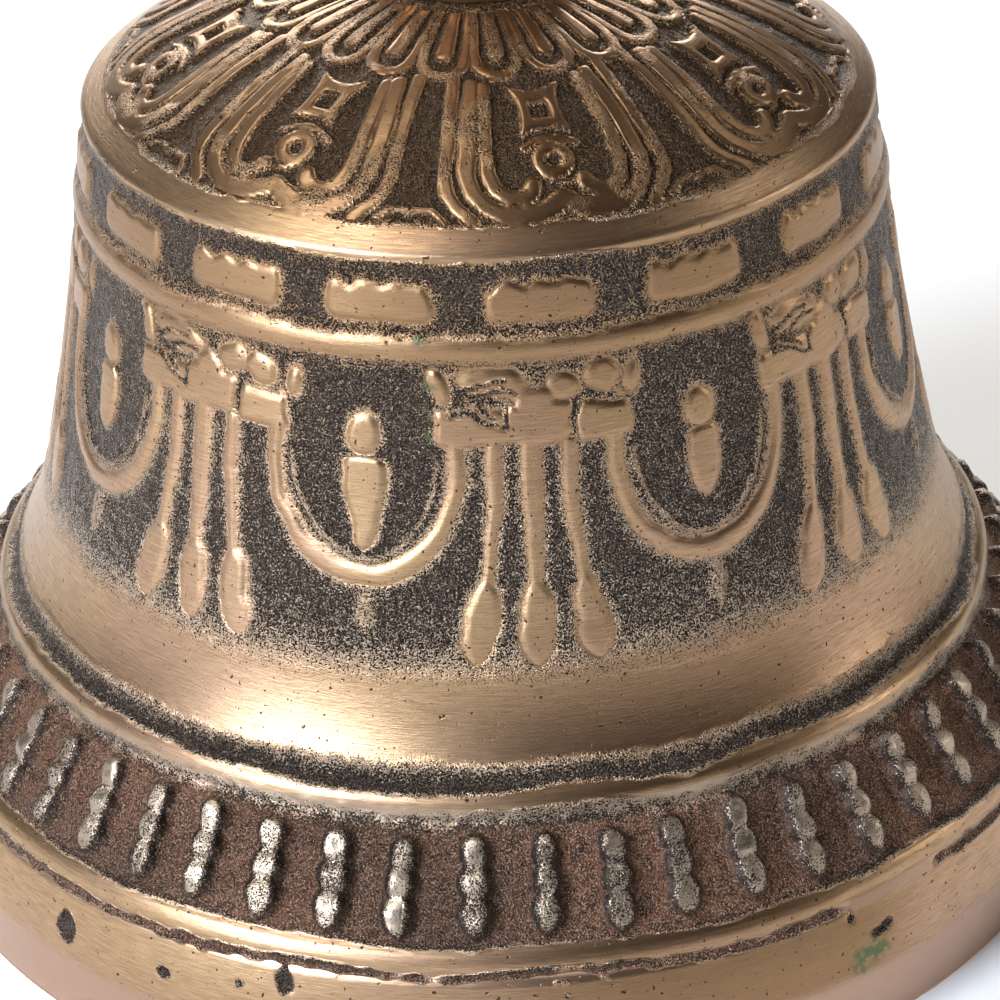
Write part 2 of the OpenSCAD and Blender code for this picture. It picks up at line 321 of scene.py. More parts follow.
MASK_BLOBS = [  # u, s, half width, half height, tilt
    (-2.9, 33.5, 2.9, 1.2, 10), (1.9, 33.7, 1.45, 1.15, 0), (4.6, 33.6, 1.6, 1.35, 0),
    (6.2, 35.0, 0.4, 0.4, 0), (7.2, 34.0, 0.7, 1.3, 0),
]
MASK_BLOCKS = [  # u, s, half width, half height
    (-4.1, 36.5, 3.0, 1.4), (0.35, 36.2, 2.35, 1.5), (4.8, 36.7, 2.1, 1.5), (-2.3, 37.3, 4.7, 0.75),
]
MASK_LINES = [  # the creases in the lumps, as points of u and s
    [(-5.6, 35.5), (-4.6, 35.6), (-3.3, 36.3), (-1.9, 36.6)], [(-4.0, 35.2), (-2.8, 35.9)],
    [(-1.9, 36.6), (-1.9, 35.4)], [(2.7, 35.2), (2.75, 37.6)],
    [(-5.2, 34.0), (-3.8, 33.3), (-2.0, 33.2)], [(-3.9, 34.3), (-2.4, 33.9), (-1.1, 34.0)],
]


def masks(bell, warp):
    """The worn masks of the waist, each with three tassels under it."""
    for k in range(8):
        centre = FIRST_MASK + 45 * k + 0.7 * math.sin(math.radians(90 * k))
        where, u, v = bell.window(centre, 21, 31.0, 55.5)
        w = warp[where] * 0.22
        su, sv = u + w, v - w

        def worn(d, top, edge=0.55, wear=1.2, soft=0.5):
            bell.put(where, d, top, edge, wear, soft)

        shift = rng.uniform(-0.25, 0.25, (len(MASK_BLOBS), 2))
        for (cu, cv, ru, rv, tilt), (du, dv) in zip(MASK_BLOBS, shift):
            worn(blob(su, sv, cu + du, cv + dv, ru, rv, tilt), 0.0, 0.65)
        worn(bar(su, sv, [(-6.6, 32.6), (-6.2, 34.4)], 0.6), 0.0)
        for cu, cv, hu, hv in MASK_BLOCKS:
            worn(block(su, sv, cu, cv, hu, hv, 0.7), 0.04)
        worn(blob(su, sv, 0.1, 34.8, 1.5, 1.2), 0.04)
        for points in MASK_LINES:
            bell.cut(where, bar(su, sv, points, 0.15, 0.08), 0.24, 0.24, 0.0)
        for top, drop, thick in ((-2.9, -4.5, 0.74), (-0.35, -0.4, 0.92), (2.3, 3.5, 0.72)):
            path = [(top, 38.0), (top * 1.02, 42), (top * 1.08 + (drop - top) * 0.25, 46.5), (drop, 51.0)]
            narrow = thick * (1 - 0.22 * smooth(v, 41, 47))
            d, _ = line_distance(u + w * 0.4, v, path)
            worn(np.where(v < 51, narrow - d, -1), 0.0, 0.6, 1.16, 0.7)
            half = np.interp(sv, [47.6, 48.2, 49.0, 50.2, 51.6, 52.8, 53.6, 54.0],
                             [0.5, 0.85, 1.2, 1.45, 1.45, 1.15, 0.65, 0.0], left=-1, right=-1)
            slope = (drop - top) / 8.5
            worn(half - np.abs(su - drop - slope * (sv - 51.0)), 0.04, 0.8, 1.16, 0.7)


LARGE_JEWELS = (2, 7)


def swags(bell, warp):
    """Garlands between the masks, each round a hanging jewel."""
    for k in range(8):
        centre = FIRST_MASK + 22.5 + 45 * k
        where, u, v = bell.window(centre, 21, 33.0, 54.0)
        w = warp[where] * 0.12
        su, sv = u + w, v - w
        turn = np.radians(np.linspace(-90, 90, 41))
        band = [(6.6 * math.sin(a), 39.9 + 7.75 * math.cos(a)) for a in turn]
        band = [(-6.5, 37.8)] + band + [(6.5, 37.8)]
        d, _ = line_distance(su, sv, band)
        bell.put(where, 0.76 + 0.24 * smooth(sv, 43, 47) - d, 0.02, 0.8, 1.16, 0.75)
        thin = [(5.2 * math.sin(a), 39.2 + 7.2 * math.cos(a)) for a in turn]
        bell.put(where, bar(su, sv, thin, 0.2), -0.1, 0.22, 0.75, 0.15)
        lower_end, wide = (45.9, 1.5) if k in LARGE_JEWELS else (44.0, 1.25)
        bell.put(where, blob(su, sv, 0.1, 37.3, 1.35, 1.75), 0.02, 0.65, 1.16, 0.55)
        half = np.interp(sv, [38.9, 39.4, 41.0, 42.6, lower_end - 0.6, lower_end],
                         [0.9, 1.2, 1.2, 0.95, 0.6, 0.0], left=-1, right=-1)
        bell.put(where, wide * half - np.abs(su - 0.2), 0.05, 0.7, 1.16, 0.55)
        bell.put(where, blob(su, sv, 0.3, 50.2, 0.8, 1.8), -0.05, 0.6, 0.7, 0.35)


def dashes(bell, warp):
    """Sixteen short bars with lobed tops, low on the band under the shoulder."""
    for k in range(16):
        theta = FIRST_BAR + 22.5 * k
        centre = theta - 1.3 * math.sin(math.radians(2 * theta + 30))
        where, u, v = bell.window(centre, 9, 24.5, 30.4)
        w = warp[where] * 0.15
        phase = rng.uniform(0, 6)
        lobes = 0.25 * np.abs(np.sin(u * 1.35 + phase)) + 0.12 * np.sin(u * 3.1 + 2 * phase)
        d = block(u + w, v - w + lobes * smooth(28 - v, 0, 1.5), 0, 27.7, 3.9, 1.45, 1.1)
        bell.put(where, d, 0.0, 0.6, 1.18, 0.6)


def fence(bell, warp):
    """The ring of small upright vajras round the skirt."""
    for k in range(VAJRAS):
        centre = FIRST_VAJRA + 360 / VAJRAS * k + rng.uniform(-0.35, 0.35)
        where, u, v = bell.window(centre, 3.3, 65.0, 74.2)
        lean = rng.uniform(-0.03, 0.03)
        w = warp[where] * 0.16
        x = np.abs(u + lean * (v - 69.5) + w)
        s = v + rng.uniform(-0.25, 0.25) + w * 0.5
        size = rng.uniform(1.3, 1.55)
        half = np.interp(s, [65.6, 66.0, 66.6, 67.6, 68.1, 68.5, 69.2, 69.8, 70.2, 70.6, 71.4, 72.4, 73.2],
                         [0.0, 0.6, 0.8, 0.78, 0.62, 0.82, 0.92, 0.8, 0.62, 0.84, 0.95, 0.7, 0.0])
        high = np.interp(s, [65.6, 66.2, 67.4, 68.1, 68.6, 69.2, 69.7, 70.2, 70.7, 71.6, 72.6, 73.2],
                         [0.1, 0.75, 0.7, 0.42, 0.75, 0.85, 0.72, 0.42, 0.72, 0.78, 0.5, 0.1])
        f = np.clip((half * size - x) / np.maximum(half, 0.05), 0, 1)
        rise = (high + 0.42) * np.sqrt(1 - (1 - f) ** 2)
        bell.height[where] = np.maximum(bell.height[where], bell.base_height[where] + rise)
        worn = (0.74 + 0.3 * warp[where]) * smooth(f, 0.3, 0.9) * smooth(high, 0.2, 0.6)
        bell.wear[where] = np.maximum(bell.wear[where], worn)
        bell.stain_at(where, GREY, smooth(f, 0.0, 0.2))


LEVELS = [  # (s, height) of the ground
    (0, 0), (1.2, -0.05), (2, -0.2), (9, -0.25), (10, -0.3), (21.0, -0.3),          # crown
    (21.9, -0.02), (24.2, 0),                                                       # rim
    (24.9, -0.3), (29.7, -0.3), (30.3, 0.1), (30.9, 0.2), (31.5, 0.1),              # band of bars, ridge
    (32.2, -0.3), (50, -0.3), (55, 0), (61.2, 0), (62.0, -0.3), (62.4, -0.3),       # waist and skirt
    (63.0, 0.25), (63.6, 0.4), (64.2, 0.25), (65.0, -0.25), (73.5, -0.25),          # bead, fence
    (74.1, 0.15), (74.9, 0.22), (75.45, 0.1), (75.75, -0.18), (76.05, -0.18),       # ring, groove
    (76.35, 0), (90, 0)]                                                            # lip
WEARS = [  # (s, wear) of the ground
    (0, 0.5), (1.5, 0.4), (2.0, 0.05), (9, 0.05), (10, -0.04), (20.9, -0.04),
    (21.8, 0.7), (22.3, 1.3), (24.2, 1.4),
    (24.8, 0.45), (25.4, 0.16), (28.6, 0.16), (29.5, 0.35), (30.1, 0.9), (30.5, 1.2), (31.3, 1.15),
    (31.9, 0.6), (32.8, 0.2), (48, 0.18), (52.2, 0.34), (55.3, 0.9), (56.7, 1.3), (59.4, 1.4),
    (60.6, 0.95), (61.3, 0.55), (61.8, 0.28), (62.2, 0.05), (62.55, 0.05),
    (62.8, 0.6), (63.2, 1.1), (63.9, 1.25), (64.4, 0.7), (65.2, 0.45), (65.8, -0.05), (73.5, -0.1),
    (74.0, 1.1), (75.4, 1.3), (75.75, -0.05), (76.1, -0.05),
    (76.4, 1.3), (81, 1.4), (90, 1.4)]
BROWNED = [(21.9, 1), (22.3, 0), (24.3, 0), (24.8, 0.88), (30, 0.8), (38, 0.3), (46, 0)]    # (s, brown)
# painted shade: (s, brown) down the skirt and lip, painted on the front-right side as if in shade
PAINTED_SHADE_RIGHT = [(50, 0), (56, 0.4), (73, 0.4), (76.3, 0.5), (77, 0.95), (81, 0.95), (82.4, 0)]


def bell_relief():
    outline = resample(rounded(OUTSIDE, 0.32), ROW_STEP)
    bell = Relief(outline, COLUMNS)
    warp = bell.field(1.6)
    slow = bell.field(12)
    sag = 0.12 * bell.field(0.9) + 0.35 * bell.field(6)
    bell.ground(LEVELS, WEARS, sag)
    fence_red = between(bell.s, 64.8, 65.8, 73.3, 74)[:, None] * (0.8 + 0.5 * slow)
    lip_red = smooth(bell.s, 81.2, 82.4)[:, None]
    groove_red = 0.75 * between(bell.s, 75.4, 75.7, 76.2, 76.5)[:, None]
    bell.stain_and_shade[..., RED] = np.clip(fence_red, 0, 1) + lip_red + groove_red
    bell.stain_and_shade[..., GREY] = (0.8 * between(bell.s, 63.8, 64.4, 64.9, 65.4))[:, None]
    # painted shade: the front-right of the skirt and lip is browned darker, as if in shade
    painted_shade_side = between(bell.theta, -6, 12, 34, 44)
    bell.stain_and_shade[..., BROWN] = np.interp(bell.s, *zip(*BROWNED))[:, None]
    bell.stain_and_shade[..., BROWN] += np.interp(bell.s, *zip(*PAINTED_SHADE_RIGHT))[:, None] * painted_shade_side
    near_grooves = 0.6 * between(bell.s, 74.9, 75.5, 76.3, 76.9)
    near_grooves += 0.12 * between(bell.s, 60, 61.5, 62.4, 62.9)
    near_grooves += 0.3 * between(bell.s, 64.3, 65, 65.8, 66.4)
    bell.wear += near_grooves[:, None] * bell.field(0.8)
    filled = between(bell.s, 74.8, 75.2, 76.8, 77.2)[:, None] * between(bell.theta, 32, 34.5, 44, 46)
    bell.wear += (1.35 - bell.wear) * filled
    bell.height *= 1 - filled
    bell.base_wear = bell.wear.copy()
    small_petals(bell, warp)
    big_petals(bell, warp)
    dashes(bell, warp)
    masks(bell, warp)
    swags(bell, warp)
    fence(bell, warp)
    chips(bell)
    on_crown = between(bell.s, 1, 3, 20.5, 22)[:, None]
    left_side = (0.75 + 0.25 * np.cos(np.radians(bell.theta + 60)))[None]
    bell.wear -= 0.5 * on_crown * left_side * smooth(bell.field(3), -0.5, 0.8) * smooth(bell.wear, 0.3, 0.8)
    on_bead = between(bell.s, 62.6, 63.1, 64.5, 65)[:, None]
    rough = np.clip(1.1 - bell.wear, 0, 1) * (1 - on_bead)
    vajra = bell.stain_and_shade[..., GREY]
    bell.height += (rough * 0.06 + vajra * 0.06) * bell.field(0.6) + 0.03 * slow
    bell.height *= between(bell.s, 0.3, 1.5, 85.6, 86.4)[:, None]
    return bell


CHIPS = [  # theta, s, half width, half height
    (-45, 79.0, 1.0, 1.3), (-20.6, 77.2, 0.65, 1.1), (-33, 79.2, 0.55, 0.5), (-25, 78.1, 0.3, 0.3),
    (5.5, 77.5, 0.25, 0.4), (36.5, 78.6, 0.9, 0.25), (33.8, 76.8, 0.25, 0.25), (95, 78, 0.6, 0.9),
    (148, 79, 0.5, 0.8), (-120, 77.4, 0.7, 0.5), (-165, 78.6, 0.4, 0.6)]
VERDIGRIS = [(35.5, 80.2, 2.2, 1.3), (-7.8, 34.0, 0.5, 3.6), (-8.6, 30.2, 0.7, 0.8), (140, 34, 0.6, 3)]


def chips(bell):
    """Old casting flaws in the lip, and the green stains."""
    rag = bell.field(0.8)
    for theta, s, ru, rv in CHIPS:
        where, u, v = bell.window(theta, 4, s - 3, s + 3)
        bell.cut(where, blob(u, v, 0, s, ru, rv) + 0.22 * rag[where], 0.3, 0.35, -0.4)
    for theta, s, ru, rv in VERDIGRIS:
        where, u, v = bell.window(theta, 6, s - 5, s + 5)
        bell.stain_at(where, GREEN, smooth(blob(u, v, 0, s, ru, rv) + 0.3 * rag[where], -0.1, 0.5))


# ---- meshes ----

def make_mesh(name, points, faces, body, material, nodes, attributes):
    mesh = bpy.data.meshes.new(name)
    mesh.from_pydata((np.asarray(points) * MM).tolist(), [], faces)
    mesh.update()
    mesh.shade_smooth()
    for key, values in attributes.items():
        values = np.asarray(values, np.float32)
        if values.ndim == 1:
            mesh.attributes.new(key, "FLOAT", "POINT").data.foreach_set("value", values)
        else:
            mesh.attributes.new(key, "FLOAT_COLOR", "POINT").data.foreach_set("color", values.ravel())
    mesh.materials.append(material)
    obj = bpy.data.objects.new(name, mesh)
    bpy.context.scene.collection.objects.link(obj)
    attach(obj, body)
    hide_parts(*nodes)


def ring_points(r, z, theta):
    """Points of rows of rings; theta 0 is the front, -Y."""
    a = np.radians(theta)[None]
    return np.stack([r * np.sin(a), -r * np.cos(a), z + 0 * a], -1).reshape(-1, 3)


def outward(outline):
    """Unit normals of an outline that runs down the outside."""
    t = np.gradient(outline, axis=0)
    t /= np.hypot(*t.T)[:, None]
    return np.column_stack([-t[:, 1], t[:, 0]])


def quads(rows, columns, first=0, close_rows=False):
    i = np.arange(rows if close_rows else rows - 1)[:, None]
    j = np.arange(columns)[None]
    a = i * columns + j
    b = i * columns + (j + 1) % columns
    c = (i + 1) % rows * columns + (j + 1) % columns
    d = (i + 1) % rows * columns + j
    return (np.stack([a, d, c, b], -1).reshape(-1, 4) + first).tolist()


def join_rings(outer_first, inner_first, flip):
    """Faces from a ring of COLUMNS points to one of INSIDE_COLUMNS."""
    ratio = COLUMNS // INSIDE_COLUMNS
    faces = []
    for j in range(INSIDE_COLUMNS):
        rim = [outer_first + (j * ratio + i) % COLUMNS for i in range(ratio + 1)]
        face = rim + [inner_first + (j + 1) % INSIDE_COLUMNS, inner_first + j]
        faces.append(face[::-1] if flip else face)
    return faces


def bell_body(material):
    bell = bell_relief()
    n = outward(bell.outline)
    r = bell.outline[:, :1] + bell.height * n[:, :1]
    z = bell.outline[:, 1:] + bell.height * n[:, 1:]
    rows = len(bell.s)
    outer = ring_points(r, z, bell.theta)
    inner_seat = SEAT_Z - CROWN_T
    inside = np.vstack([
        resample(bow((MOUTH_R, 0), (WAIST[0] - 3.2, WAIST[1] - 1), -2.3, 24), 1.2),
        resample(bow((WAIST[0] - 3.2, WAIST[1] - 1), (SHOULDER[0] - 3, SHOULDER[1] - 6), 0.6, 24), 1.5)[1:],
        resample(bow((SHOULDER[0] - 3, SHOULDER[1] - 6), (SHOULDER[0] - 8, SHOULDER[1]), -1.2, 12), 0.8)[1:],
        resample(bow((SHOULDER[0] - 8, SHOULDER[1]), (9.2, inner_seat), -0.9, 12), 1.0)[1:],
        [[BORE_R, inner_seat], [BORE_R, SEAT_Z], [SEAT_R, SEAT_Z]],
    ])
    theta = bell.theta[::COLUMNS // INSIDE_COLUMNS]
    inner = ring_points(inside[:, :1] + 0 * theta, inside[:, 1:] + 0 * theta, theta)
    first = rows * COLUMNS
    faces = quads(rows, COLUMNS) + quads(len(inside), INSIDE_COLUMNS, first)
    faces += join_rings(first - COLUMNS, first, False)
    faces += join_rings(0, first + (len(inside) - 1) * INSIDE_COLUMNS, True)
    height = inner[:, 2]
    struck = np.exp(-((height - BALL_Z) / 2.2) ** 2)
    handled = 1 - smooth(height, 0.5, 3.5)
    wear = np.r_[bell.wear.ravel(), 0.42 + 0.5 * struck + 0.7 * handled]
    stain_and_shade = np.vstack([bell.stain_and_shade.reshape(-1, STAINS), np.zeros((len(inner), STAINS))])
    make_mesh("bell_body_cast", np.vstack([outer, inner]), faces, "bell", material,
              ["bell_body"], attributes={"wear": wear, "stain_and_shade": stain_and_shade})


def turned(name, body, material, outside, inside=None, decorate=None,
           columns=360, step=0.25, radius=0.12, inside_wear=0.2):
    """Solid of revolution with relief. outside is its line from the top down and inside the way back up;
    with no inside, each end of the line is closed by a flat."""
    piece = Relief(resample(rounded(np.vstack(outside), radius), step), columns)
    piece.ground([(0, 0), (1, 0)], [(0, 1.1), (1, 1.1)])
    if decorate:
        decorate(piece)
    piece.height += 0.015 * piece.field(4)
    end = piece.s[-1]
    piece.height *= (smooth(piece.s, 0, 0.5) * smooth(end - piece.s, 0, 0.5))[:, None]
    n = outward(piece.outline)
    r = piece.outline[:, :1] + piece.height * n[:, :1]
    z = piece.outline[:, 1:] + piece.height * n[:, 1:]
    points = ring_points(r, z, piece.theta)
    rows = len(piece.s)
    if inside is None:
        ends = [[0, 0, piece.outline[0, 1]], [0, 0, piece.outline[-1, 1]]]
        points = np.vstack([points, ends])
        first, top = (rows - 1) * columns, rows * columns
        faces = quads(rows, columns)
        for j in range(columns):
            k = (j + 1) % columns
            faces += [[j, k, top], [first + k, first + j, top + 1]]
        extra = 2
    else:
        inside = np.array(inside, float)
        points = np.vstack([points, ring_points(inside[:, :1] + 0 * piece.theta,
                                                inside[:, 1:] + 0 * piece.theta, piece.theta)])
        faces = quads(rows + len(inside), columns, close_rows=True)
        extra = len(inside) * columns
    wear = np.r_[piece.wear.ravel(), np.full(extra, inside_wear)]
    stain_and_shade = np.vstack([piece.stain_and_shade.reshape(-1, STAINS), np.zeros((extra, STAINS))])
    make_mesh(name + "_cast", points, faces, body, material, [name],
              attributes={"wear": wear, "stain_and_shade": stain_and_shade})


def petal_band(piece, count, root, tip, top, first=0.0, wear=1.25):
    """A ring of pointed petals from s = root to s = tip, each with a rim and a raised middle."""
    for k in range(count):
        low, high = min(root, tip), max(root, tip)
        where, u, v = piece.window(first + 360 / count * k, 180 / count, low - 0.2, high + 0.2)
        t = (v - root) / (tip - root)
        width = math.pi * np.interp(v, piece.s, piece.r) / count - 0.1
        half = width * np.interp(t, [0, 0.3, 0.6, 0.85, 1.0], [0.85, 1.0, 0.92, 0.55, 0.0], left=-1, right=-1)
        piece.put(where, half - np.abs(u), top, 0.3, wear)
        piece.cut(where, 0.72 * half - np.abs(u), 0.6 * top, 0.2, 0.3)
        piece.put(where, 0.42 * half - np.abs(u), 0.9 * top, 0.3, wear)


def groove(piece, s, half=0.25, depth=0.2, wear=0.1):
    """A turned line all round; a negative depth raises a bead."""
    shape = np.exp(-((piece.s - s) / half) ** 2)[:, None]
    piece.height -= depth * shape
    piece.wear += (wear - piece.wear) * shape
    piece.base_height, piece.base_wear = piece.height.copy(), piece.wear.copy()


def handle_foot(material):
    roll = bow((7.4, FOOT_Z), (7.1, FOOT_Z + 3), -0.5, 12)
    hollow = bow((7.1, FOOT_Z + 3), (6, LOWER_RING_Z), 0.9, 12)

    def decorate(piece):
        groove(piece, 3.75, 0.16, 0.2)
        petal_band(piece, 16, 3.9, 6.4, 0.22)
        groove(piece, 0.9, 0.2, 0.14)

    turned("handle_foot", "bell", material, [hollow[::-1], roll[::-1][1:]],
           [[BORE_R, FOOT_Z], [BORE_R, LOWER_RING_Z]], decorate)


def pearl_ring(name, z, height, material):
    """Twelve pearls round a plain core."""
    core, centre_r, pearl_r = 5.6, 5.7, 1.4

    def decorate(piece):
        piece.ground([(0, 0), (1, 0)], [(0, 0.15), (1, 0.15)])
        for k in range(PEARLS):
            where, u, v = piece.window(360 / PEARLS * k, 180 / PEARLS, 0, height)
            turn = u / core
            rest = pearl_r ** 2 - (centre_r * np.sin(turn)) ** 2 - (v - height / 2) ** 2
            rise = centre_r * np.cos(turn) - core + np.sqrt(np.maximum(rest, 0))
            piece.height[where] = np.where(rest > 0, rise, 0)
            piece.wear[where] = 0.1 + 1.15 * smooth(rise, 0.35, 0.95) * (rest > 0)

    turned(name, "bell", material, [[(core, z + height), (core, z)]],
           [[BORE_R, z], [BORE_R, z + height]], decorate, columns=480, step=0.1, radius=0.05)


def handle_vase(material):
    low, high = VASE_Z, UPPER_RING_Z
    foot = bow((6.2, low + 1), (4.8, low + 3), 0.3, 8)
    mouth = bow((4.8, high - 3), (6.2, high - 1), 0.3, 8)
    t = np.linspace(0, 1, 41)
    belly = 4.8 + 3.8 * np.abs(np.sin(math.pi * t ** 1.2)) ** 1.5
    side = np.column_stack([belly, low + 3 + t * (high - low - 6)])

    def decorate(piece):
        petal_band(piece, 12, 18.7, 13.6, 0.28, 15)
        groove(piece, 12.6, 0.3, -0.16, 1.2)
        groove(piece, 10.2, 0.3, -0.16, 1.2)
        for k in range(24):
            where, u, v = piece.window(15 * k, 7, 10.4, 12.4)
            piece.put(where, blob(u, v, 0, 11.4, 0.62, 0.62), 0.3, 0.5)
        petal_band(piece, 12, 4.6, 9.3, 0.25, 0)

    hollow = [[BORE_R, low], [BORE_R, low + 3], [3.2, low + 3.01], [6.9, (low + high) / 2],
              [3.2, high - 3.01], [BORE_R, high - 3], [BORE_R, high]]
    turned("handle_vase", "bell", material,
           [[(6.2, high)], mouth[::-1], side[::-1][1:], foot[::-1][1:], [(6.2, low)]], hollow, decorate,
           columns=480, step=0.2)


def lotus_cup(material):
    mid, top = (LOTUS_Z + HUB_Z) / 2, HUB_Z
    lower = bow((5.8, LOTUS_Z), (9.2, mid - 1.2), 0.6, 10)
    waist = bow((9.2, mid - 0.6), (9.2, mid + 1.2), 2.2, 14)
    upper = bow((9.4, mid + 1.8), (8.4, top), -0.2, 8)

    def decorate(piece):
        middle = piece.s[np.argmin(np.abs(piece.outline[:, 1] - mid) + 9 * (piece.r > 8.4))]
        groove(piece, middle, 0.45, 0.0, -0.2)
        petal_band(piece, 10, middle - 1.2, 0.3, 0.35, 18)
        petal_band(piece, 10, middle + 1.2, piece.s[-1] - 0.3, 0.35)

    turned("lotus_cup", "bell", material, [upper[::-1], waist[::-1], lower[::-1]],
           [[BORE_R, LOTUS_Z], [BORE_R, top]], decorate, columns=480, step=0.2)


def vajra_hub(material):
    turn = np.radians(np.arange(60, -51, -4))
    globe = np.column_stack([HUB_R * np.cos(turn), GLOBE_Z + HUB_R * np.sin(turn)])
    collar = [(HUB_R - 0.4, HUB_Z + 0.9), (HUB_R - 0.6, HUB_Z)]

    def decorate(piece):
        from_axis = (piece.r > 3.4) & (piece.outline[:, 1] > HUB_Z + 0.3)
        piece.wear[~from_axis] = 0.3
        equator = piece.s[np.argmin(np.abs(piece.outline[:, 1] - GLOBE_Z) + 9 * (piece.r < 4))]
        groove(piece, equator - 0.9, 0.16, 0.16)
        groove(piece, equator + 0.9, 0.16, 0.16)
        petal_band(piece, 16, equator - 1.1, equator - 4.6, 0.2)
        petal_band(piece, 16, equator + 1.1, equator + 4.4, 0.2)

    turned("vajra_hub", "bell", material,
           [[(SPINE_R, SOCKET_Z), (SPINE_R, HUB_TOP)], globe, collar, [(SPINE_R, HUB_Z), (SPINE_R, ROD_TOP)]],
           decorate=decorate)


def centre_prong(material):
    root = bow((SPINE_R, HUB_TOP + 0.5), (3, HUB_TOP + 7), -0.6, 12)
    shaft = bow((3, HUB_TOP + 7), (SPINE_R, CAP_Z - 4), -0.3, 12)
    point = bow((SPINE_R, CAP_TOP + 0.8), (0.5, POINT_TOP), -0.8, 12)

    def decorate(piece):
        z = piece.outline[:, 1]
        for at in (HUB_TOP + 8.5, HUB_TOP + 10.2, CAP_Z - 7):
            groove(piece, np.interp(-at, -z, piece.s), 0.35, -0.3, 1.3)
        inside_cap = (z > CAP_Z - 0.5) & (z < CAP_TOP + 0.5)
        piece.wear[inside_cap] = 0.2
        for k in range(4):
            where, u, v = piece.window(90 * k, 45, 0.6, 8)
            piece.height[where] += 0.3 * np.exp(-(u / 0.5) ** 2) * smooth(v, 0.5, 2) * smooth(8 - v, 0, 2.0)

    turned("centre_prong", "bell", material,
           [point[::-1], shaft[::-1], root[::-1], [(SPINE_R, SOCKET_Z)]], decorate=decorate, columns=120)


def prong_cap(material):
    side = bow((4.8, CAP_Z), (4.2, CAP_TOP), -0.9, 14)

    def decorate(piece):
        end = piece.s[-1]
        groove(piece, end * 0.5, 0.35, -0.2, 1.3)
        petal_band(piece, 8, end * 0.5 - 0.4, 0.3, 0.25)
        petal_band(piece, 8, end * 0.5 + 0.4, end - 0.3, 0.25)

    turned("prong_cap", "bell", material, [side[::-1]],
           [[SPINE_R, CAP_Z], [SPINE_R, CAP_TOP]], decorate)


def vajra_prongs(material):
    """Eight curved prongs with a scroll over the root and a bead near the tip."""
    outer_r, inner_r, thick, sides, steps = 30.2, 34, 3.4, 20, 90
    low, high, reach = PRONGS_LOW.z, PRONGS_HIGH.z, PRONGS_HIGH.x
    z = np.linspace(low, high, steps + 1)
    dz = z - (low + high) / 2
    back = reach - outer_r + np.sqrt(outer_r ** 2 - dz ** 2)
    front = reach - thick - inner_r + np.sqrt(inner_r ** 2 - dz ** 2)
    t = (z - low) / (high - low)
    fade = smooth(t, 0.0, 0.05) * smooth(1 - t, 0, 0.05)
    scroll = np.exp(-((t - 0.16) / 0.022) ** 2) + 0.8 * np.exp(-((t - 0.225) / 0.02) ** 2)
    beads = np.exp(-((t - 0.88) / 0.014) ** 2) + 0.7 * np.exp(-((t - 0.5) / 0.016) ** 2)
    half_w = 1.18 * (1 + fade * (0.14 * scroll + 0.1 * beads - 0.16 * np.exp(-((t - 0.7) / 0.12) ** 2)))
    half_t = (back - front) / 2
    lift = fade * (0.45 * scroll + 0.2 * beads) * smooth(reach - back, 0.2, 1.2)
    turn = np.radians(np.arange(sides) * 360 / sides)
    c, s = np.cos(turn)[None], np.sin(turn)[None]
    x = (back + front)[:, None] / 2 + half_t[:, None] * np.sign(c) * np.abs(c) ** 1.15
    x += lift[:, None] * (c > 0) * c
    y = half_w[:, None] * np.sign(s) * np.abs(s) ** 0.85
    wear = 0.35 + 0.95 * smooth(c, -0.5, 0.5) + 0 * x
    wear -= 0.8 * (np.exp(-((t - 0.19) / 0.012) ** 2) + np.exp(-((t - 0.13) / 0.012) ** 2))[:, None]
    points, faces, wears = [], [], []
    for k in range(8):
        a = math.radians(45 * k)
        first = k * (steps + 1) * sides
        turned_x, turned_y = x * math.cos(a) - y * math.sin(a), x * math.sin(a) + y * math.cos(a)
        points.append(np.stack([turned_x, turned_y, z[:, None] + 0 * x], -1).reshape(-1, 3))
        wears.append(wear.ravel())
        faces += [f[::-1] for f in quads(steps + 1, sides, first)]
        faces.append([first + j for j in range(sides)][::-1])
        faces.append([first + steps * sides + j for j in range(sides)])
    points = np.vstack(points)
    make_mesh("vajra_prongs_cast", points, faces, "bell", material, ["vajra_prongs"],
              attributes={"wear": np.concatenate(wears), "stain_and_shade": np.zeros((len(points), STAINS))})


def clapper_ball(material):
    collar = [(2.6, BALL_Z + BALL_R + 2), (3.4, BALL_Z + BALL_R - 1)]
    drop = math.sqrt(BALL_R ** 2 - SHANK_R ** 2)     # from the ball's centre to the shank's end
    turn = np.arange(math.asin((BALL_R - 1) / BALL_R), -math.asin(drop / BALL_R), -0.1)
    ball = np.column_stack([BALL_R * np.cos(turn), BALL_Z + BALL_R * np.sin(turn)])

    def decorate(piece):
        dents = np.clip(-piece.field(1.6) - 0.35, 0, 1)
        band = np.exp(-((piece.s - 8.5) / 3.0) ** 2)[:, None]
        piece.height -= 0.16 * dents * band
        piece.wear[:] = 0.75 + 0.55 * band - 0.3 * dents

    end = [(SHANK_R, BALL_Z - drop)]
    turned("clapper_ball", "clapper", material, [collar, ball[1:], end],
           [[SHANK_R, end[0][1] + 0.01], [SHANK_R, BALL_Z + BALL_R + 2]], decorate, columns=240)


def soften(name, width):
    """Fine bevels on a CAD node that keeps its own mesh."""
    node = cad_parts[name]
    weld = node.modifiers.new("weld", "WELD")
    weld.merge_threshold = 1e-6
    bevel = node.modifiers.new("bevel", "BEVEL")
    bevel.width = width * MM
    bevel.segments = 2
    bevel.limit_method = "ANGLE"
    bevel.angle_limit = math.radians(40)
    bevel.use_clamp_overlap = True


# ---- materials ----

